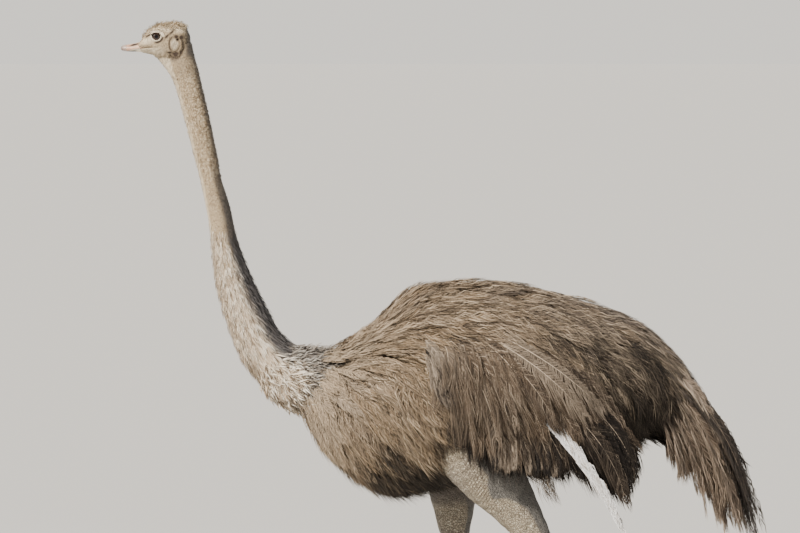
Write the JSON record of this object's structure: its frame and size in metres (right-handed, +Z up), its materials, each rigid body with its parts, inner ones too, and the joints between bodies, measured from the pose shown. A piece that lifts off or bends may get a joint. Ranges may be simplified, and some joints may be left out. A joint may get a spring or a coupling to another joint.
{
  "type": "ostrich",
  "caption": "Life-size standing ostrich hen: long bare neck, feathered body with folded wings and drooping tail, bare legs in mid-stride on two-toed feet.",
  "frame": {"origin": "on the floor, under the middle of the whole bird's bounding box", "axes": "+Z up, the bird faces -X, and her left side is at -Y"},
  "size_m": [1.776, 0.5594, 1.9905],
  "materials": {
    "head_skin": "matte",
    "neck_skin": "matte",
    "neck_down": "matte",
    "bill": "satin",
    "eye": "gloss",
    "body_feathers": "matte",
    "wing_feathers": "matte",
    "tail_feathers": "matte",
    "leg_skin": "matte",
    "leg_scales": "satin",
    "claw": "satin"
  },
  "bodies": {
    "root": {"head": "head_skin", "bill_upper": "bill", "bill_lower": "bill", "eye_left": "eye", "eye_right": "eye", "neck_upper": "neck_skin", "neck_middle": "neck_skin", "neck_lower": "neck_down", "neck_base": "neck_down", "torso": "body_feathers", "tail": "tail_feathers", "wing_left": "wing_feathers", "wing_right": "wing_feathers", "thigh_left": "leg_skin", "thigh_right": "leg_skin", "shank_left": "leg_scales", "shank_right": "leg_scales", "toe_big_left": "leg_scales", "toe_big_right": "leg_scales", "toe_small_left": "leg_scales", "toe_small_right": "leg_scales", "claw_left": "claw", "claw_right": "claw"}
  },
  "joints": []
}
